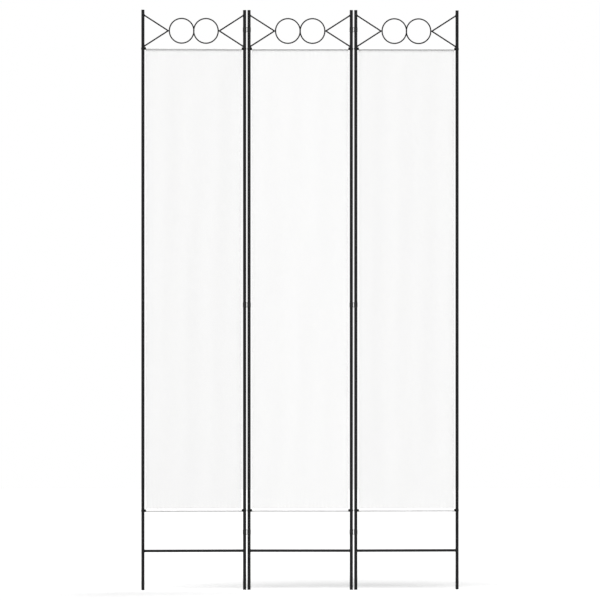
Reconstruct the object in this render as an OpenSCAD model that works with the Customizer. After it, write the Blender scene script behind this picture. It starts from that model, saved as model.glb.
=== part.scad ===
// Folding room divider screen: three steel tube panels, each with a cloth stretched
// between two rods under a wire crest, joined by double-ring hinge clips.
// Millimetres. X runs along the screen, the front faces -Y, and the floor is Z = 0.
// The origin is on the floor under the middle of the centre panel.
// Posts are numbered 1 to 6 from the left; odd posts stand on the left of their panel.

/* [Screen] */
// Overall height, from the floor to the tops of the post caps
screen_h = 2200; // [1900:10:2400]
// Width of one panel, over the outsides of its posts
panel_w = 400; // [340:5:560]
// Angle between neighbouring panels as the screen stands
stand_angle = 7; // [4:1:20]

/* [Posts] */
// Outer diameter of the post tubes
post_d = 12; // [10:0.5:13]
// Wall of the post tubes
post_wall = 0.8; // [0.6:0.1:1]
// Length of the swaged end that plugs into the upper tube
swage_len = 45; // [25:5:80]
// Height of a post cap above its tube
cap_h = 4; // [2:0.5:5]
// Height of a foot plug below its tube
foot_h = 5; // [3:0.5:8]

/* [Crest] */
// Height of the crest's middle below the tops of the posts
crest_drop = 79.5; // [76:0.5:110]
// Diameter of the crest's rings, on the centre line of the wire
ring_d = 93.5; // [70:0.5:105]
// Diameter of the rings' wire
ring_wire_d = 5; // [3:0.5:5]
// Diameter of the chevrons' wire
chevron_wire_d = 5.5; // [3:0.5:6]
// Rise of a chevron's wire from its middle to the post
chevron_rise = 58; // [40:1:60]
// Length of the nose between a chevron's wires and its ring
nose_len = 1.5; // [1:0.5:8]

/* [Rods and crossbar] */
// Height of the top cloth rod below the ends of the chevrons' wires
top_rod_drop = 9.5; // [9.5:0.5:60]
// Height of the bottom cloth rod above the floor
bottom_rod_z = 301; // [260:1:400]
// Outer diameter of the cloth rods
rod_d = 8; // [7:0.5:9]
// Wall of the cloth rods
rod_wall = 0.8; // [0.6:0.1:1]
// Width of the collar between a rod and its post
collar_len = 5; // [3:0.5:8]
// Height of the crossbar above the floor
crossbar_z = 148.5; // [100:0.5:180]
// Outer diameter of the crossbar
crossbar_d = 10; // [8:0.5:10]

/* [Cloth] */
// Thickness of the cloth
cloth_t = 1; // [0.5:0.1:2]

/* [Hinge clips] */
// Distance between the axes of two neighbouring posts
clip_pitch = 17; // [17:0.5:24]
// Height of a hinge clip
clip_h = 18; // [12:1:24]
// Wall of a clip's sleeves
clip_wall = 0.7; // [0.6:0.05:1.2]

/* [Hidden] */
$fn = 96;
fit = 0.05;
post_r = post_d / 2;
post_bore_d = post_d - 2 * post_wall;
post_pitch = panel_w - post_d;
joint_z = screen_h / 2;
stem_d = post_bore_d - 2 * fit;
swage_taper = 1.5;
crest_z = screen_h - crest_drop;
ring_x = ring_d / 2;
nose_x = ring_x + ring_d / 2 + ring_wire_d / 2 + nose_len;
weld_d = chevron_wire_d + 1.6;
weld_len = 2;
top_rod_z = crest_z - chevron_rise - top_rod_drop;
rod_heights = [bottom_rod_z, top_rod_z];
rod_len = post_pitch - post_d - 2 * collar_len;
rod_stem_d = rod_d - 2 * rod_wall - 2 * fit;
collar_d = rod_d + 2;
shoulder = post_r + collar_len;
rod_stem_len = 16;
screw_d = 4;
screw_len = shoulder + 12;
head_d = 8;
head_h = 1.2;
socket_across = 2.5;
clip_chamfer = 0.3;
clip_bar_h = 1.5;
clip_bar_t = 3;
clip_names = ["bottom_clip", "middle_clip", "top_clip"];
clip_heights = [219, joint_z - 19, crest_z + 5];
PANELS = ["left", "centre", "right"];
STEEL = "#2b2b2e";
PLASTIC = "#17171a";
CLOTH = "#f4f4f2";

// ---- placing: panel 0 stands turned to the front, panel 2 to the back ----

// Side of its panel that post n stands on: -1 left, 1 right.
function side_of(n) = n % 2 == 1 ? -1 : 1;

// Frame of a hinge: s is -1 for the left pair of posts, 1 for the right pair.
module at_hinge(s) {
    translate([s * post_pitch / 2, 0, 0])
        rotate([0, 0, stand_angle / 2])
            children();
}

// Frame of a panel, its origin on the floor between its posts.
module in_panel(i) {
    s = i - 1;
    if (s == 0)
        children();
    else
        at_hinge(s)
            translate([s * clip_pitch, 0, 0])
                rotate([0, 0, stand_angle / 2])
                    translate([s * post_pitch / 2, 0, 0])
                        children();
}

// Frame of post n, its axis on Z.
module at_post(n) {
    in_panel(floor((n - 1) / 2))
        translate([side_of(n) * post_pitch / 2, 0, 0])
            children();
}

// Both posts of a panel, in the panel's frame.
module at_both_posts() {
    for (s = [-1, 1])
        translate([s * post_pitch / 2, 0, 0])
            children();
}

// The four rod ends of a panel: Z points from the post's axis along the rod.
module at_rod_ends() {
    for (s = [-1, 1], z = rod_heights)
        translate([s * post_pitch / 2, 0, z])
            rotate([0, -90 * s, 0])
                children();
}

// ---- posts ----

// Hole through both walls of a post for the screw of the rod at height z.
module screw_hole(z) {
    translate([0, 0, z])
        rotate([0, 90, 0])
            cylinder(d = screw_d + 0.4, h = post_d + 2, center = true);
}

// Upper tube, from the joint to the cap.
module upper_post() {
    color(STEEL)
        difference() {
            translate([0, 0, joint_z])
                cylinder(d = post_d, h = screen_h - cap_h - joint_z);
            translate([0, 0, joint_z - 1])
                cylinder(d = post_bore_d, h = screen_h - joint_z);
            screw_hole(top_rod_z);
        }
}

// Lower tube, swaged down at the top so that it plugs into the upper tube,
// which stands on the swage's shoulder.
module lower_post() {
    stem_r = stem_d / 2;
    neck_z = joint_z - swage_taper;
    swage_top = joint_z + swage_len;
    color(STEEL)
        difference() {
            rotate_extrude()
                polygon([
                    [post_bore_d / 2, foot_h],
                    [post_r, foot_h],
                    [post_r, neck_z],
                    [post_bore_d / 2, joint_z],
                    [stem_r, joint_z + fit],
                    [stem_r, swage_top],
                    [stem_r - post_wall, swage_top],
                    [stem_r - post_wall, joint_z],
                    [post_bore_d / 2, neck_z]
                ]);
            screw_hole(bottom_rod_z);
        }
}

// Ribbed plug for a post's end: the flange stands on Z = 0 with the stem above it.
module plug(flange_h, ribs) {
    chamfer = 0.6;
    edge = 0.2;
    rib_pitch = 3;
    rib_r = stem_d / 2;
    root_r = rib_r - 0.7;
    rotate_extrude()
        polygon([
            [0, 0],
            [post_r - chamfer, 0],
            [post_r, chamfer],
            [post_r, flange_h - edge],
            [post_r - edge, flange_h],
            [root_r, flange_h],
            for (i = [1:ribs]) each [
                [root_r, flange_h + i * rib_pitch - 1.6],
                [rib_r, flange_h + i * rib_pitch - 1.2],
                [rib_r, flange_h + i * rib_pitch - 0.8],
                [root_r, flange_h + i * rib_pitch]
            ],
            [0, flange_h + ribs * rib_pitch]
        ]);
}

// The plugs that close the tops of a panel's posts.
module caps() {
    color(PLASTIC)
        at_both_posts()
            translate([0, 0, screen_h])
                mirror([0, 0, 1])
                    plug(cap_h, 3);
}

// The plugs that a panel's posts stand on.
module feet() {
    color(PLASTIC)
        at_both_posts()
            plug(foot_h, 5);
}

// ---- crest ----

// Centre line ring of wire in the XZ plane.
module wire_ring() {
    rotate([90, 0, 0])
        rotate_extrude()
            translate([ring_d / 2, 0])
                circle(d = ring_wire_d);
}

// Place of a ring in its panel: the left ring laps in front of the right one.
module at_ring(s) {
    translate([s * ring_x, s * ring_wire_d / 2, crest_z])
        children();
}

module crest_ring(s) {
    color(STEEL)
        at_ring(s)
            wire_ring();
}

// One wire of a chevron, from the nose out to the post's axis, with its weld.
module chevron_wire(s, up) {
    run = post_pitch / 2 - post_r - nose_x;
    reach = norm([run, chevron_rise]);
    angle = atan2(chevron_rise, run);
    translate([s * nose_x, 0, crest_z])
        rotate([0, s * (90 - up * angle), 0]) {
            cylinder(d = chevron_wire_d, h = reach + post_r);
            translate([0, 0, reach - weld_len])
                cylinder(d1 = chevron_wire_d, d2 = weld_d, h = weld_len);
            translate([0, 0, reach])
                cylinder(d = weld_d, h = post_r);
        }
}

// Two wires that meet in a nose, coped to sit on the post and on the ring.
module chevron(s) {
    color(STEEL)
        difference() {
            union() {
                for (up = [-1, 1])
                    chevron_wire(s, up);
                translate([s * nose_x, 0, crest_z])
                    sphere(d = chevron_wire_d);
                translate([s * nose_x, 0, crest_z])
                    rotate([0, -90 * s, 0])
                        cylinder(d = chevron_wire_d, h = nose_len + ring_wire_d / 2);
            }
            translate([s * post_pitch / 2, 0, crest_z])
                cylinder(d = post_d, h = 3 * chevron_rise, center = true);
            at_ring(s)
                wire_ring();
        }
}

// ---- crossbar, rods and cloth ----

// Tube along X, coped at both ends to sit against the posts.
module crossbar() {
    color(STEEL)
        difference() {
            translate([0, 0, crossbar_z])
                rotate([0, 90, 0])
                    cylinder(d = crossbar_d, h = post_pitch, center = true);
            translate([0, 0, crossbar_z])
                rotate([0, 90, 0])
                    cylinder(d = crossbar_d - 2 * rod_wall, h = post_pitch + 2, center = true);
            at_both_posts()
                cylinder(d = post_d, h = 2 * crossbar_z);
        }
}

// Thin tube that the cloth's tunnel slides onto.
module cloth_rod(z) {
    color(STEEL)
        translate([0, 0, z])
            rotate([0, 90, 0])
                difference() {
                    cylinder(d = rod_d, h = rod_len, center = true);
                    cylinder(d = rod_d - 2 * rod_wall, h = rod_len + 2, center = true);
                }
}

// Collar with a tapped stem: the stem plugs the rod and the collar meets the post.
module rod_plug() {
    difference() {
        union() {
            cylinder(d = collar_d, h = shoulder);
            cylinder(d = rod_stem_d, h = shoulder + rod_stem_len);
        }
        translate([0, 0, -1])
            cylinder(d = screw_d + 2 * fit, h = shoulder + rod_stem_len + 2);
        rotate([0, 90, 0])
            cylinder(d = post_d, h = 2 * collar_d, center = true);
    }
}

// Low domed screw with a hexagonal socket, through the post into the rod plug.
module rod_screw() {
    rim_h = 0.3;
    socket_h = 1.8;
    rise = head_h - rim_h;
    dome_r = (pow(head_d / 2, 2) + pow(rise, 2)) / (2 * rise);
    translate([0, 0, -post_r])
        difference() {
            union() {
                cylinder(d = screw_d, h = post_r + screw_len);
                mirror([0, 0, 1])
                    rotate_extrude()
                        intersection() {
                            square([head_d / 2, head_h]);
                            translate([0, head_h - dome_r])
                                circle(r = dome_r, $fn = 360);
                        }
            }
            translate([0, 0, -head_h - 1])
                cylinder(d = socket_across / cos(30), h = 1 + socket_h, $fn = 6);
        }
}

module rod_plugs() {
    color(PLASTIC)
        at_rod_ends()
            rod_plug();
}

module rod_screws() {
    color(STEEL)
        at_rod_ends()
            rod_screw();
}

// Cloth with a sewn tunnel round each rod.
module cloth() {
    tunnel_r = rod_d / 2 + fit;
    color(CLOTH)
        rotate([90, 0, 90])
            linear_extrude(height = rod_len - 1, center = true)
                difference() {
                    union() {
                        for (z = rod_heights)
                            translate([0, z])
                                circle(r = tunnel_r + cloth_t);
                        translate([-cloth_t / 2, bottom_rod_z])
                            square([cloth_t, top_rod_z - bottom_rod_z]);
                    }
                    for (z = rod_heights)
                        translate([0, z])
                            circle(r = tunnel_r);
                }
}

// ---- hinge clips ----

// Sleeve with chamfered ends, solid until its bore is cut.
module clip_sleeve() {
    outer_r = post_r + fit + clip_wall;
    end_z = clip_h / 2;
    rotate_extrude()
        polygon([
            [0, -end_z],
            [outer_r - clip_chamfer, -end_z],
            [outer_r, clip_chamfer - end_z],
            [outer_r, end_z - clip_chamfer],
            [outer_r - clip_chamfer, end_z],
            [0, end_z]
        ]);
}

// Two sleeves, one round each post, joined by a thin bar at the top and the bottom.
module hinge_clip(s, z) {
    bar_z = (clip_h - clip_bar_h) / 2;
    color(PLASTIC)
        at_hinge(s)
            translate([0, 0, z])
                difference() {
                    union() {
                        for (x = [0, s * clip_pitch])
                            translate([x, 0, 0])
                                clip_sleeve();
                        for (bar = [-bar_z, bar_z])
                            translate([s * clip_pitch / 2, 0, bar])
                                cube([clip_pitch - 2 * post_r, clip_bar_t, clip_bar_h], center = true);
                    }
                    for (x = [0, s * clip_pitch])
                        translate([x, 0, 0])
                            cylinder(r = post_r + fit, h = clip_h + 2, center = true);
                }
}

// ---- the pieces ----

for (n = [1:6]) {
    at_post(n) upper_post();
    at_post(n) lower_post();
    in_panel(floor((n - 1) / 2)) chevron(side_of(n));
    in_panel(floor((n - 1) / 2)) crest_ring(side_of(n));
}

for (i = [0:2]) {
    in_panel(i) caps();
    in_panel(i) feet();
    in_panel(i) crossbar();
    in_panel(i) cloth_rod(top_rod_z);
    in_panel(i) cloth_rod(bottom_rod_z);
    in_panel(i) rod_plugs();
    in_panel(i) rod_screws();
    in_panel(i) cloth();
}

for (k = [0:2]) {
    hinge_clip(-1, clip_heights[k]);
    hinge_clip(1, clip_heights[k]);
}
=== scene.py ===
import bpy
import numpy as np
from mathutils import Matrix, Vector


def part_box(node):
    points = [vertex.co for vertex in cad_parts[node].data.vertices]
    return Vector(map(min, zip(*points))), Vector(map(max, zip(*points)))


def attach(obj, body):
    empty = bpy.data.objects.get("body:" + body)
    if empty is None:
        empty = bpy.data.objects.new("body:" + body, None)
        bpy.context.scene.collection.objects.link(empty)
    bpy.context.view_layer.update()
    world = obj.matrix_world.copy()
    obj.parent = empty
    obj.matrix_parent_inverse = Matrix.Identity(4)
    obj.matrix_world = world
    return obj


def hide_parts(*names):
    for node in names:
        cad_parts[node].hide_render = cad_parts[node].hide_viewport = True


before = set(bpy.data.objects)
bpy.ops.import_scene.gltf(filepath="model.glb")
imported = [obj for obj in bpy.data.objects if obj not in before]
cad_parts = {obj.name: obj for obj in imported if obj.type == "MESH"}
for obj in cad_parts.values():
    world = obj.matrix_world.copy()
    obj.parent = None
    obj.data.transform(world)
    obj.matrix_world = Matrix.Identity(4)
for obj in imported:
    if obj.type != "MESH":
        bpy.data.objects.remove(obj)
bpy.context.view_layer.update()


# ---- Posts -----------------------------------------------------------------------
# Six round steel tubes, two to a panel, each in two lengths: the lower length is
# swaged at the top and plugs into the upper one. They are powder coated black once
# the crest and the crossbar have been welded on, so all that steel has one finish.

panels = ("left", "centre", "right")
posts = range(1, 2 * len(panels) + 1)
coat_black = (0.0060, 0.0060, 0.0064, 1)
coat_rubbed = (0.0105, 0.0105, 0.0110, 1)
coat_rough = (0.46, 0.62)
coat_gloss = 0.12
patch_grain = (45, 3)
peel_grain = (950, 2)
peel_relief = (0.5, 0.00016)


def new_finish(name):
    """A finish with nothing in it yet but its output."""
    finish = bpy.data.materials.new(name)
    finish.use_nodes = True
    finish.node_tree.nodes.clear()
    finish.node_tree.nodes.new("ShaderNodeOutputMaterial")
    return finish


def add(finish, kind, inputs=(), **settings):
    """Adds a node to a finish. Each input is a number, a colour or another node's
    output."""
    node = finish.node_tree.nodes.new("ShaderNode" + kind)
    for name, value in settings.items():
        setattr(node, name, value)
    for socket, value in dict(inputs).items():
        if isinstance(value, bpy.types.NodeSocket):
            finish.node_tree.links.new(value, node.inputs[socket])
        else:
            node.inputs[socket].default_value = value
    return node


def noise(finish, place, grain):
    """Noise from 0 to 1 over a place. The grain is the number of its patches to the
    metre, and how many finer layers lie over them."""
    inputs = {"Vector": place, "Scale": grain[0], "Detail": grain[1]}
    return add(finish, "TexNoise", inputs).outputs["Fac"]


def spread(finish, value, ends, span=(0, 1)):
    """Stretches a value from its span to the two ends, and holds it between them."""
    inputs = {"Value": value, "From Min": span[0], "From Max": span[1]}
    inputs.update({"To Min": ends[0], "To Max": ends[1]})
    return add(finish, "MapRange", inputs).outputs[0]


def two_tone(finish, share, first, second):
    """The first colour where the share is 0 and the second where it is 1. The Mix
    node takes the share at input 0 and the colours at 6 and 7, and gives output 2."""
    inputs = {0: share, 6: first, 7: second}
    return add(finish, "Mix", inputs, data_type="RGBA").outputs[2]


def bump(finish, height, relief):
    """Bumps from a height. The relief is their strength and their full height."""
    inputs = {"Height": height, "Strength": relief[0], "Distance": relief[1]}
    return add(finish, "Bump", inputs).outputs[0]


def show(finish, shader):
    """Puts a shader on the finish's output."""
    output = finish.node_tree.nodes["Material Output"]
    finish.node_tree.links.new(shader.outputs[0], output.inputs["Surface"])
    return finish


def coat(piece, finish):
    """Gives a piece one finish all over."""
    piece.data.materials.clear()
    piece.data.materials.append(finish)


def powder_coat():
    """Black powder coat: a fine orange peel from noise 1 mm across, over broad soft
    patches that are a little rougher and greyer."""
    finish = new_finish("powder_coat")
    place = add(finish, "TexCoord").outputs["Object"]
    patches = noise(finish, place, patch_grain)
    peel = noise(finish, place, peel_grain)
    shader = add(finish, "BsdfPrincipled", {
        "Base Color": two_tone(finish, patches, coat_black, coat_rubbed),
        "Roughness": spread(finish, patches, coat_rough),
        "Specular IOR Level": coat_gloss,
        "Normal": bump(finish, peel, peel_relief),
    })
    return show(finish, shader)


black_coat = powder_coat()
for n in posts:
    for length in ("upper", "lower"):
        coat(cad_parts[f"post_{n}_{length}"], black_coat)


# ---- Caps and feet ---------------------------------------------------------------
# Ribbed plugs of nylon, blacker than the coat, pushed into the ends of the posts. The
# flange of a cap is 4 mm tall, and that of a foot 5 mm, scuffed where it meets the
# floor.

plug_black = (0.0030, 0.0030, 0.0032, 1)
plug_gloss = 0.07
nylon_rough = (0.48, 0.64)
nylon_grain = (2600, 2)
nylon_relief = (0.3, 0.00004)
scuff_grey = (0.030, 0.029, 0.028, 1)
scuff_grain = (700, 4)
scuff_span = (0.42, 0.62)
scuff_top = 0.0016


def combine(finish, rule, first, second):
    """Two values made one by a rule of arithmetic, such as MULTIPLY."""
    return add(finish, "Math", {0: first, 1: second}, operation=rule).outputs[0]


def moulded_nylon(name, black, gloss):
    """Black nylon with the fine spark-eroded grain of its mould. Near the floor, noise
    picks out scuffs that fade out at the height scuff_top."""
    finish = new_finish(name)
    place = add(finish, "TexCoord").outputs["Object"]
    grain = noise(finish, place, nylon_grain)
    height = add(finish, "SeparateXYZ", {0: place}).outputs["Z"]
    low = spread(finish, height, (1, 0), (0, scuff_top))
    patchy = spread(finish, noise(finish, place, scuff_grain), (0, 1), scuff_span)
    scuffed = combine(finish, "MULTIPLY", low, patchy)
    shader = add(finish, "BsdfPrincipled", {
        "Base Color": two_tone(finish, scuffed, black, scuff_grey),
        "Roughness": spread(finish, grain, nylon_rough),
        "Specular IOR Level": gloss,
        "Normal": bump(finish, grain, nylon_relief),
    })
    return show(finish, shader)


plug_nylon = moulded_nylon("plug_nylon", plug_black, plug_gloss)
for panel in panels:
    for piece in ("caps", "feet"):
        coat(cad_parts[f"{panel}_{piece}"], plug_nylon)


# ---- Crest -----------------------------------------------------------------------
# Two rings of 5 mm steel wire, one lapped in front of the other, between two chevrons
# of thicker wire. Small beads of weld hold the lap and the chevrons' ends.

chevron_rise = 0.0580
chevron_run = 0.0905
chevron_end_r = 0.0030
chevron_bead = 0.0010
chevron_ripples = 16
bead_swell = 0.12
bead_sides = 8
ripple_rows = 5
lap_bead = 0.0013
lap_groove = 0.0015
lap_len = 0.0110
lap_turn = 1.5
lap_drops = 7
lap_swell = 0.06
lap_sides = 12
drop_rows = 8


def post_axis(n):
    """The middle of a post, seen from above."""
    low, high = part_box(f"post_{n}_upper")
    return np.array(low)[:2] / 2 + np.array(high)[:2] / 2


def in_panel(points, i):
    """Turns points of panel i's own frame into the room's: x runs along the panel
    from its middle, y to its back and z up."""
    left, right = post_axis(2 * i + 1), post_axis(2 * i + 2)
    along = (right - left) / np.linalg.norm(right - left)
    back = np.array([-along[1], along[0]])
    flat = (left + right) / 2 + points[..., :1] * along + points[..., 1:2] * back
    return np.concatenate([flat, points[..., 2:]], axis=-1)


def make_piece(name, points, faces, smooth=True):
    """A mesh object at the origin from an array of points and lists of corners."""
    mesh = bpy.data.meshes.new(name)
    mesh.from_pydata(points.reshape(-1, 3).tolist(), [], [f.tolist() for f in faces])
    mesh.polygons.foreach_set("use_smooth", np.full(len(mesh.polygons), smooth))
    piece = bpy.data.objects.new(name, mesh)
    bpy.context.scene.collection.objects.link(piece)
    return piece


def ring_faces(rows, sides, first=0, closed=False):
    """Four-cornered faces between neighbouring rows of a surface whose every row is a
    ring of points; the last row meets the first where it is closed."""
    starts = np.arange(rows if closed else rows - 1)
    i, j = np.meshgrid(starts, np.arange(sides), indexing="ij")
    i2, j2 = (i + 1) % rows, (j + 1) % sides
    corners = [i * sides + j, i2 * sides + j, i2 * sides + j2, i * sides + j2]
    return first + np.stack(corners, -1).reshape(-1, 4)


def bead_faces(beads):
    """The faces of several beads, each a closed round of rings of points."""
    count, rows, sides = beads.shape[:3]
    starts = np.arange(count) * rows * sides
    return [f for first in starts for f in ring_faces(rows, sides, first, True)]


def spindle_faces(spindles, first):
    """The faces of several spindles, with a flat face at the foot and top of each."""
    count, rows, sides = spindles.shape[:3]
    faces = []
    for start in first + np.arange(count) * rows * sides:
        foot = start + np.arange(sides)
        faces += [*ring_faces(rows, sides, start)[:, ::-1]]
        faces += [foot[::-1], foot + (rows - 1) * sides]
    return faces


def weld_bead(bar_r, bar_tilt, bead_r, ripples, side):
    """A bead along the line where a bar meets a post, seen from the post's axis. At the
    angle t round the bar, y = bar_r cos t and the place across the bar is w = bar_r
    sin t. The line lies on the post, so x is the root of post_r squared less y
    squared, and z = (x sin tilt + w) / cos tilt. The bead is a round on that line that
    swells and thins, as overlapping drops do."""
    t = np.linspace(0, 2 * np.pi, ripples * ripple_rows, endpoint=False)[:, None]
    a = np.linspace(0, 2 * np.pi, bead_sides, endpoint=False)[None, :]
    r = bead_r * (1 + bead_swell * np.cos(ripples * t))
    y, w = bar_r * np.cos(t), bar_r * np.sin(t)
    x = np.sqrt(post_r**2 - y**2)
    z = (x * np.sin(bar_tilt) + w) / np.cos(bar_tilt)
    out, up = r * np.cos(a), r * np.sin(a)
    x = x + up * np.cos(bar_tilt) - out * np.sin(t) * np.sin(bar_tilt)
    z = z + up * np.sin(bar_tilt) + out * np.sin(t) * np.cos(bar_tilt)
    return np.stack([-side * x, -side * (y + out * np.cos(t)), z], -1)


def lap_beads():
    """Two beads in the grooves beside the lap of the rings: upright spindles whose
    radius is lap_bead times the root of 1 - u to the fourth, where u goes from -1 at
    the bead's foot to 1 at its top, and swells and thins a little drop by drop. The
    rows are even in the angle whose sine is u, which turns from -lap_turn to
    lap_turn, just short of a quarter turn."""
    turn = np.linspace(-lap_turn, lap_turn, drop_rows * lap_drops + 1)
    u = np.sin(turn)[:, None]
    a = np.linspace(0, 2 * np.pi, lap_sides, endpoint=False)[None, :]
    swell = 1 + lap_swell * np.cos(np.pi * lap_drops * u)
    r = lap_bead * np.sqrt(1 - u**4) * swell
    spindle = np.stack([r * np.cos(a), r * np.sin(a), u * lap_len / 2 + 0 * a], -1)
    return np.stack([spindle - [lap_groove, 0, 0], spindle + [lap_groove, 0, 0]])


ring_low, ring_high = map(np.array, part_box("ring_3"))
crest_z = (ring_low[2] + ring_high[2]) / 2
post_low, post_high = map(np.array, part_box("post_3_upper"))
post_r = (post_high[0] - post_low[0]) / 2
post_x = np.linalg.norm(post_axis(4) - post_axis(3)) / 2
chevron_tilt = np.arctan2(chevron_rise, chevron_run)
end_z = chevron_rise + post_r * np.tan(chevron_tilt)
for n in posts:
    coat(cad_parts[f"chevron_{n}"], black_coat)
    coat(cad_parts[f"ring_{n}"], black_coat)
for i, panel in enumerate(panels):
    beads = np.stack([
        weld_bead(chevron_end_r, -up * chevron_tilt, chevron_bead, chevron_ripples, side)
        + [side * post_x, 0, crest_z + up * end_z]
        for side in (-1, 1)
        for up in (-1, 1)
    ])
    laps = lap_beads() + [0, 0, crest_z]
    points = np.concatenate([beads.reshape(-1, 3), laps.reshape(-1, 3)])
    faces = bead_faces(beads) + spindle_faces(laps, beads.size // 3)
    welds = make_piece(f"{panel}_crest_welds", in_panel(points, i), faces)
    coat(welds, black_coat)
    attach(welds, f"{panel}_panel")


# ---- Crossbar --------------------------------------------------------------------
# A thinner steel tube between the lower posts. Its ends are cut to the posts' round
# and welded all the way round, with the small even beads of a machine weld.

bar_bead = 0.0008
bar_ripples = 26

bar_low, bar_high = map(np.array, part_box("centre_crossbar"))
bar_r = (bar_high[2] - bar_low[2]) / 2
bar_z = (bar_high[2] + bar_low[2]) / 2
for i, panel in enumerate(panels):
    coat(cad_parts[f"{panel}_crossbar"], black_coat)
    beads = np.stack([
        weld_bead(bar_r, 0, bar_bead, bar_ripples, side) + [side * post_x, 0, bar_z]
        for side in (-1, 1)
    ])
    name = f"{panel}_crossbar_welds"
    welds = make_piece(name, in_panel(beads, i), bead_faces(beads))
    coat(welds, black_coat)
    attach(welds, f"{panel}_panel")


# ---- Cloth rods ------------------------------------------------------------------
# Thin steel tubes inside the cloth's tunnels. A nylon plug in each end is held to
# the post by a low black screw from outside.

screw_black = (0.035, 0.035, 0.037, 1)
screw_metal = 0.9
screw_rough = (0.30, 0.50)
oxide_grain = (1800, 3)
oxide_relief = (0.2, 0.00003)


def black_oxide():
    """Steel blackened with oxide: dark metal whose roughness varies in fine noise."""
    finish = new_finish("black_oxide")
    place = add(finish, "TexCoord").outputs["Object"]
    mottle = noise(finish, place, oxide_grain)
    shader = add(finish, "BsdfPrincipled", {
        "Base Color": screw_black,
        "Metallic": screw_metal,
        "Roughness": spread(finish, mottle, screw_rough),
        "Normal": bump(finish, mottle, oxide_relief),
    })
    return show(finish, shader)


oxide = black_oxide()
for panel in panels:
    coat(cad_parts[f"{panel}_top_rod"], black_coat)
    coat(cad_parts[f"{panel}_bottom_rod"], black_coat)
    coat(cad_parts[f"{panel}_rod_plugs"], plug_nylon)
    coat(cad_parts[f"{panel}_rod_screws"], oxide)


# ---- Cloth -----------------------------------------------------------------------
# One length of white plain-woven polyester per panel. Its sides are turned in twice
# and stitched, and each end is turned to the back over a rod and stitched down, which
# makes the tunnel that the rod slides through. The rods keep it stretched.

cloth_t = 0.0004
hem_w = 0.0080
hem_t = 0.0007
hem_step = 0.0009
hem_lead = 0.0004
rim_w = 0.0005
rim_round = 0.96
seam_drop = 0.0062
tunnel_slack = 0.00015
tunnel_shares = (0, 0.12, 0.35, 0.65)
arc_points = 25
loop_fade = 0.003
flap_len = 0.0080
flap_stand = 1.15
flap_rows = 5
panel_rows = 250
even_share = 0.4
side_bow = 0.0016

top_low, top_high = map(np.array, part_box("centre_top_rod"))
bottom_low, bottom_high = map(np.array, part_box("centre_bottom_rod"))
rod_r = (top_high[2] - top_low[2]) / 2
top_z = (top_low[2] + top_high[2]) / 2
bottom_z = (bottom_low[2] + bottom_high[2]) / 2
cloth_low, cloth_high = map(np.array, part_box("centre_cloth"))
half_w = (cloth_high[0] - cloth_low[0]) / 2
tunnel_r = rod_r + cloth_t / 2 + tunnel_slack
flap_y = cloth_t * flap_stand


def tunnel_line():
    """The line of the top tunnel from the seam at the front, over the rod and back to
    the seam: two straight lines that touch a circle round the rod, and the arc between
    them. Columns are the distance to the back and the height above the rod's axis."""
    touch = np.arccos(tunnel_r / seam_drop)
    arc = np.linspace(touch, 2 * np.pi - touch, arc_points)
    round_rod = np.stack([-tunnel_r * np.sin(arc), -tunnel_r * np.cos(arc)], -1)
    share = np.array(tunnel_shares)[:, None]
    rise = np.array([0, -seam_drop]) * (1 - share) + round_rod[0] * share
    fall = np.array([flap_y, -seam_drop]) * (1 - share) + round_rod[-1] * share
    return np.concatenate([rise, round_rod, fall[::-1]])


def cloth_line():
    """The whole line of the cloth in side view, from the end of the flap behind the
    bottom tunnel, round the bottom rod, up the panel, over the top rod and down to
    the end of the top flap. Up the panel the rows are closer near the rods: even_share
    of each height is even, and the rest is half of 1 less the cosine of pi k, where k
    goes from 0 to 1."""
    top = tunnel_line()
    bottom = top[::-1] * [1, -1]
    flap = np.linspace(flap_len, 0, flap_rows + 1)[:-1, None]
    k = np.linspace(0, 1, panel_rows)[1:-1, None]
    height = even_share * k + (1 - even_share) * (1 - np.cos(np.pi * k)) / 2
    panel_z = bottom_z + seam_drop + height * (top_z - bottom_z - 2 * seam_drop)
    return np.concatenate([
        np.concatenate([flap * 0 + flap_y, bottom_z + seam_drop + flap], 1),
        bottom + [0, bottom_z],
        np.concatenate([panel_z * 0, panel_z], 1),
        top + [0, top_z],
        np.concatenate([flap * 0 + flap_y, top_z - seam_drop - flap], 1)[::-1],
    ])


line = cloth_line()
tunnel_rows = len(tunnel_line())
line_step = np.linalg.norm(np.diff(line, axis=0), axis=1)
line_s = np.concatenate([[0], np.cumsum(line_step)])
line_dir = np.gradient(line, line_s, axis=0)
line_dir /= np.linalg.norm(line_dir, axis=1, keepdims=True)


def hem_share(x):
    """1 on the turned-in sides of the cloth and 0 between them. The step from 0 to 1
    is soft: three times its square less twice its cube."""
    step = np.clip((np.abs(x) - (half_w - hem_w - hem_lead)) / hem_step, 0, 1)
    return step * step * (3 - 2 * step)


narrow_fold = (0.00065, 0.0160)
wide_fold = (0.00060, 0.0295)
wide_counter = 1.3
fold_fade = 0.08
slow_drift = (0.9, 2.3)
quick_drift = (0.5, 5.1)
pucker_fold = (0.00026, 0.0029)
pucker_sway = (3, 0.021)
pucker_fade = 0.022
hem_fold = (0.0007, 0.083)
hem_fade = 0.012
hem_apart = 1.7


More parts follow.
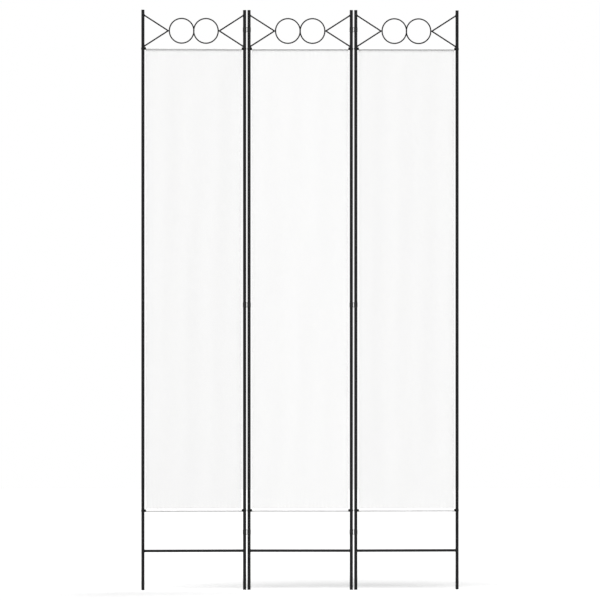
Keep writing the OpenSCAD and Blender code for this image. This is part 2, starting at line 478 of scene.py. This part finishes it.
def billow(x, z, seed):
    """How far the stretched cloth stands off its plane, as sine waves. Each fold's two
    numbers are its height and its width over 2 pi. Upright waves 100 mm and 185 mm
    wide drift sideways up the panel and die out at the rods. Puckers 18 mm wide die out
    within 60 mm of a seam. The side hems, being stiffer, wander to and fro on their
    own, in waves half a metre tall. A drift's two numbers are its size and its rate."""
    from_seam = np.clip(np.minimum(z - bottom_z, top_z - z) - seam_drop, 0, None)
    away = 1 - np.exp(-from_seam / fold_fade)
    drift = slow_drift[0] * np.sin(slow_drift[1] * z + seed)
    drift = drift + quick_drift[0] * np.sin(quick_drift[1] * z + 2 * seed)
    narrow = narrow_fold[0] * np.sin(x / narrow_fold[1] + drift)
    wide = wide_fold[0] * np.sin(x / wide_fold[1] - wide_counter * drift + seed)
    sway = pucker_sway[0] * np.sin(x / pucker_sway[1] + seed)
    pucker = pucker_fold[0] * np.exp(-from_seam / pucker_fade)
    pucker = pucker * np.sin(x / pucker_fold[1] + sway)
    edge = np.exp(-(half_w - np.abs(x)) / hem_fade)
    wander = hem_fold[0] * edge * np.sin(z / hem_fold[1] + np.sign(x) * hem_apart + seed)
    return away * (narrow + wide + wander) + pucker * (from_seam > 0)


def lay_cloth(x, s, face, seed):
    """Points of the cloth at the distances x across it and s along its line. The face
    is 1 outside and -1 inside, and each face stands half the cloth's thickness off
    the line along its normal, rounded over at the rim as the root of 1 less rim_round
    times the square of how far into the rim it is. The hems add their turned-in layers
    inside. At the share h of the height the sides bow in by side_bow times 4 h (1 - h),
    and the plane of the panel billows."""
    y, z = np.interp(s, line_s, line[:, 0]), np.interp(s, line_s, line[:, 1])
    ty, tz = np.interp(s, line_s, line_dir[:, 0]), np.interp(s, line_s, line_dir[:, 1])
    size = np.hypot(ty, tz)
    out_y, out_z = -tz / size, ty / size
    hem = hem_t * hem_share(x)
    rim = np.clip((np.abs(x) - (half_w - rim_w)) / rim_w, 0, 1)
    round_rim = np.sqrt(1 - rim_round * rim**2)
    past_seam = np.maximum(z - (top_z - seam_drop), bottom_z + seam_drop - z)
    on_loop = np.clip(past_seam / loop_fade, 0, 1)
    on_flap = (s < line_s[flap_rows]) | (s > line_s[-1 - flap_rows])
    off = np.where(face > 0, cloth_t / 2, -(cloth_t / 2 + hem))
    off = on_loop * hem + (off + hem / 2) * round_rim - hem / 2
    height = (z - bottom_z) / (top_z - bottom_z)
    bow = 1 - side_bow / half_w * 4 * np.clip(height * (1 - height), 0, None)
    flap_out = np.where(on_flap, 2 * hem, 0)
    stand = y + out_y * off + flap_out + billow(x, z, seed)
    return np.stack([x * bow, stand, z + out_z * off], -1)


cloth_white = (0.955, 0.955, 0.953, 1)
cloth_shade = (0.925, 0.925, 0.923, 1)
# The grey of the gaps between the threads' domes is painted shade, where shade falls
# between the threads.
cloth_gap_shade = (0.850, 0.850, 0.848, 1)
cloth_rough = 0.85
cloth_gloss = 0.2
cloth_sheen = 0.08
sheen_rough = 0.5
light_through = 0.15
thread_pitch = 0.0006
thread_round = 0.4
weave_relief = (0.35, 0.00012)
gap_shade_span = (0, 0.45)
slub_stretch = (900, 25, 1)
slub_grain = (1, 3)
slub_span = (0.35, 0.75)


def woven_polyester():
    """White plain weave. Bands along and across the cloth give every thread a round
    back, and a checker picks the thread on top: its dome is long along itself and
    short across. The gaps between the domes are painted greyer, as painted shade
    where the threads dip, noise drawn out along the threads varies the white, and some
    of the light goes through. At a scale of 1 the bands are 2 pi / 20 apart."""
    finish = new_finish("woven_polyester")
    place = add(finish, "UVMap", uv_map="weave").outputs["UV"]
    bands = {"Vector": place, "Scale": 2 * np.pi / 20 / thread_pitch}
    warp = add(finish, "TexWave", bands, bands_direction="X").outputs["Fac"]
    weft = add(finish, "TexWave", bands, bands_direction="Y").outputs["Fac"]
    warp_back = combine(finish, "POWER", warp, thread_round)
    weft_back = combine(finish, "POWER", weft, thread_round)
    warp_dome = combine(finish, "MULTIPLY", warp, weft_back)
    weft_dome = combine(finish, "MULTIPLY", weft, warp_back)
    squares = {"Vector": place, "Scale": 1 / thread_pitch}
    on_top = add(finish, "TexChecker", squares).outputs["Fac"]
    either = {0: on_top, 2: warp_dome, 3: weft_dome}
    domes = add(finish, "Mix", either, data_type="FLOAT").outputs[0]
    drawn = add(finish, "Mapping", {"Vector": place, "Scale": slub_stretch}).outputs[0]
    slubs = noise(finish, drawn, slub_grain)
    uneven = spread(finish, slubs, (0, 1), slub_span)
    thread_tone = two_tone(finish, uneven, cloth_white, cloth_shade)
    # Where the domes sink towards the gaps the colour turns to the gap grey, a painted
    # shade between the threads.
    unshaded_share = spread(finish, domes, (0, 1), gap_shade_span)
    colour = two_tone(finish, unshaded_share, cloth_gap_shade, thread_tone)
    weave = bump(finish, domes, weave_relief)
    face = add(finish, "BsdfPrincipled", {
        "Base Color": colour,
        "Roughness": cloth_rough,
        "Specular IOR Level": cloth_gloss,
        "Sheen Weight": cloth_sheen,
        "Sheen Roughness": sheen_rough,
        "Normal": weave,
    })
    through = add(finish, "BsdfTranslucent", {"Color": colour, "Normal": weave})
    both = {0: light_through, 1: face.outputs[0], 2: through.outputs[0]}
    return show(finish, add(finish, "MixShader", both))


polyester = woven_polyester()

# The columns of points lie at these distances in from each side edge, in mm, close
# together round the rim and over the hem's step, and are even between them.
near_edge = np.array([
    0, 0.12, 0.3, 0.5, 1.2, 2.6, 4.4, 5.6, 6.4, 7.2, 7.7, 8.0, 8.3, 8.8, 10.2, 12.5,
]) / 1000
middle_cols = 106
inner = half_w - near_edge[-1]
middle = np.linspace(-inner, inner, middle_cols)[1:-1]
across = np.concatenate([near_edge - half_w, middle, half_w - near_edge[::-1]])
cols = len(across)

# Each cloth has a number of its own that starts its waves.
seeds = [1.0 + 2.1 * i for i in range(len(panels))]

for i, panel in enumerate(panels):
    s = line_s[:, None]
    outer = lay_cloth(across[None, :], s, 1, seeds[i])
    inside = lay_cloth(across[None, ::-1], s, -1, seeds[i])
    grid = np.concatenate([outer, inside], axis=1)
    rows, sides = grid.shape[:2]
    j = np.arange(cols - 1)
    last = (rows - 1) * sides
    start_cap = np.stack([j, j + 1, sides - 2 - j, sides - 1 - j], -1)
    end_cap = (last + start_cap)[:, ::-1]
    faces = [*ring_faces(rows, sides)[:, ::-1], *start_cap[:, ::-1], *end_cap[:, ::-1]]
    cloth = make_piece(f"{panel}_cloth_panel", in_panel(grid, i), faces)
    flat_x = np.concatenate([across, across[::-1]])
    flat_uv = np.stack(np.broadcast_arrays(flat_x[None, :], s), -1).reshape(-1, 2)
    corners = np.zeros(len(cloth.data.loops), np.int32)
    cloth.data.loops.foreach_get("vertex_index", corners)
    weave_uv = cloth.data.uv_layers.new(name="weave").uv
    weave_uv.foreach_set("vector", flat_uv[corners].ravel())
    coat(cloth, polyester)
    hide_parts(f"{panel}_cloth")
    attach(cloth, f"{panel}_panel")


# ---- Stitching -------------------------------------------------------------------
# White polyester thread in a plain lockstitch, with a stitch every 3 mm on both
# faces: one row across each tunnel's seam and one down each side hem.

stitch_pitch = 0.0030
stitch_len = 0.0025
stitch_r = 0.00022
stitch_rings = (-0.5, -0.28, 0.28, 0.5)
stitch_taper = (0.35, 1, 1, 0.35)
stitch_lift = (-0.6, 0.55, 0.55, -0.6)
stitch_sides = 4
stitch_ends = ((3, 2, 1, 0), (12, 13, 14, 15))
beside = 0.0004
seam_start = 0.0030
seam_stop = 0.0029
side_start = 0.0020
side_stop = 0.0010
side_inset = 0.0016
thread_white = (0.84, 0.84, 0.835, 1)
thread_rough = 0.7
thread_gloss = 0.3
twist_grain = (3500, 2)


def one_stitch():
    """A short thread, thin at both ends where it goes into the cloth: four rings of
    four points, each with its place along, across and up from the cloth. The two faces
    of stitch_ends close it over its first four points and its last four."""
    along = np.array(stitch_rings)[:, None] * stitch_len
    thick = np.array(stitch_taper)[:, None] * stitch_r
    lift = np.array(stitch_lift)[:, None] * stitch_r
    a = np.linspace(0, 2 * np.pi, stitch_sides, endpoint=False)[None, :] + np.pi / 4
    places = along, thick * np.cos(a), lift + thick * np.sin(a)
    return np.stack(np.broadcast_arrays(*places), -1)


def stitch_row(x, s, face, seed, across_cloth):
    """Stitches at the places x and s of the cloth. The differences of neighbouring
    points of the cloth give each one's axes: the run of its row, the outward
    direction, and the side, which is the outward direction crossed with the run."""
    at = lay_cloth(x, s, face, seed)
    by_x = lay_cloth(x + beside, s, face, seed) - lay_cloth(x - beside, s, face, seed)
    by_s = lay_cloth(x, s + beside, face, seed) - lay_cloth(x, s - beside, face, seed)
    by_x /= np.linalg.norm(by_x, axis=1, keepdims=True)
    by_s /= np.linalg.norm(by_s, axis=1, keepdims=True)
    out = np.cross(by_x, by_s) * face
    run = by_x if across_cloth else by_s
    side = np.cross(out, run)
    shape = one_stitch().reshape(-1, 3)
    points = at[:, None] + shape[:, :1] * run[:, None]
    return points + shape[:, 1:2] * side[:, None] + shape[:, 2:] * out[:, None]


def sewing_thread():
    """Spun polyester thread, white, with a faint twist from fine noise."""
    finish = new_finish("sewing_thread")
    place = add(finish, "TexCoord").outputs["Object"]
    twist = noise(finish, place, twist_grain)
    shader = add(finish, "BsdfPrincipled", {
        "Base Color": two_tone(finish, twist, thread_white, cloth_shade),
        "Roughness": thread_rough,
        "Specular IOR Level": thread_gloss,
    })
    return show(finish, shader)


thread = sewing_thread()

# A tunnel's seam goes through the panel and the flap behind it, so it shows at two
# places of the cloth's line.
loop_end = flap_rows + tunnel_rows - 1
seam_rows = (flap_rows, loop_end, -1 - loop_end, -1 - flap_rows)
seam_s = [line_s[row] for row in seam_rows]
seam_x = np.arange(-half_w + seam_start, half_w - seam_stop, stitch_pitch)
side_s = np.arange(seam_s[1] + side_start, seam_s[2] - side_stop, stitch_pitch)
hem_x = half_w - hem_w + side_inset
for i, panel in enumerate(panels):
    seed = seeds[i]
    rows = [stitch_row(seam_x, seam_x * 0 + s, 1, seed, True) for s in seam_s]
    for side in (-1, 1):
        side_x = side_s * 0 + side * hem_x
        rows += [stitch_row(side_x, side_s, face, seed, False) for face in (1, -1)]
    stitches = np.concatenate(rows)
    each = stitches.shape[1]
    first = np.arange(len(stitches))[:, None, None] * each
    body = ring_faces(len(stitch_rings), stitch_sides)[:, ::-1]
    bodies = (first + body).reshape(-1, 4)
    ends = (first + np.array(stitch_ends)).reshape(-1, 4)
    faces = [*bodies, *ends]
    sewing = make_piece(f"{panel}_stitching", in_panel(stitches, i), faces)
    coat(sewing, thread)
    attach(sewing, f"{panel}_panel")


# ---- Hinge clips -----------------------------------------------------------------
# Mouldings of a greyer black nylon, three to each pair of posts. Each has two thin
# sleeves that turn on neighbouring posts, held 17 mm apart by a thin bar at the top
# and bottom.

clip_black = (0.0065, 0.0065, 0.0068, 1)
clip_gloss = 0.22

clip_nylon = moulded_nylon("clip_nylon", clip_black, clip_gloss)
for panel in ("left", "right"):
    for height in ("bottom", "middle", "top"):
        coat(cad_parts[f"{panel}_{height}_clip"], clip_nylon)


# ---- Room ------------------------------------------------------------------------
# A plain pale floor under a white room, lit by a broad soft lamp high at the front
# and another high at the back. Where the floor and the room only throw light on the
# screen, they are dimmer than they look.

floor_size = 40.0
floor_seen = (0.660, 0.660, 0.660, 1)
floor_felt = (0.25, 0.25, 0.25, 1)
room_seen = 1.0
room_felt = 0.48
lamp_width = 50
front_light = (-12, 48, 1.05)
back_light = (138, 40, 0.92)


def seen_by(finish, ray, *ways):
    """1 for light that goes one of these ways and 0 for the rest."""
    found = ray.outputs[ways[0]]
    for way in ways[1:]:
        found = combine(finish, "MAXIMUM", found, ray.outputs[way])
    return found


def pale_floor():
    """The floor as it is seen, and darker where it only throws light back up."""
    finish = new_finish("pale_floor")
    ray = add(finish, "LightPath")
    seen = seen_by(finish, ray, "Is Camera Ray", "Is Glossy Ray")
    colour = two_tone(finish, seen, floor_felt, floor_seen)
    return show(finish, add(finish, "BsdfDiffuse", {"Color": colour}))


def white_room():
    """A white world, as bright as room_seen where it is seen and room_felt where it
    only lights the screen."""
    room = bpy.data.worlds.new("room")
    room.use_nodes = True
    room.node_tree.nodes.clear()
    ray = add(room, "LightPath")
    seen = seen_by(room, ray, "Is Camera Ray", "Is Glossy Ray", "Is Transmission Ray")
    level = spread(room, seen, (room_felt, room_seen))
    glow = add(room, "Background", {"Color": (1, 1, 1, 1), "Strength": level})
    add(room, "OutputWorld", {"Surface": glow.outputs[0]})
    return room


def soft_lamp(name, azimuth, elevation, strength):
    """A very broad lamp, far off. At an azimuth of 0 it shines from the front, and at
    180 from the back."""
    lamp = bpy.data.lights.new(name, "SUN")
    lamp.energy = strength * np.pi
    lamp.angle = np.radians(lamp_width)
    holder = bpy.data.objects.new(name, lamp)
    holder.rotation_euler = (np.radians(90 - elevation), 0, np.radians(azimuth))
    bpy.context.scene.collection.objects.link(holder)


square = np.array([[-1, -1, 0], [1, -1, 0], [1, 1, 0], [-1, 1, 0]])
floor = make_piece("floor", square * floor_size / 2, np.array([[0, 1, 2, 3]]), smooth=False)
coat(floor, pale_floor())
bpy.context.scene.world = white_room()
soft_lamp("front_lamp", *front_light)
soft_lamp("back_lamp", *back_light)


# ---- Camera ----------------------------------------------------------------------
# A very long lens, level and straight in front of the screen, so that it is seen
# almost without perspective. It takes in view_h metres at the screen's distance.

lens = 600.0
film_w = 36.0
view_h = 2.277
eye_x = -0.0007
eye_z = 1.0996
far_end = 500.0

bpy.context.scene.view_settings.view_transform = "Standard"
eye = bpy.data.cameras.new("camera")
eye.lens = lens
eye.sensor_width = film_w
eye.clip_end = far_end
camera = bpy.data.objects.new("camera", eye)
camera.location = (eye_x, -view_h * lens / film_w, eye_z)
camera.rotation_euler = (np.radians(90), 0, 0)
bpy.context.scene.collection.objects.link(camera)
bpy.context.scene.camera = camera


# ---- Size ------------------------------------------------------------------------
# The view layer is brought up to date, so that every piece stands where it was put.

bpy.context.view_layer.update()
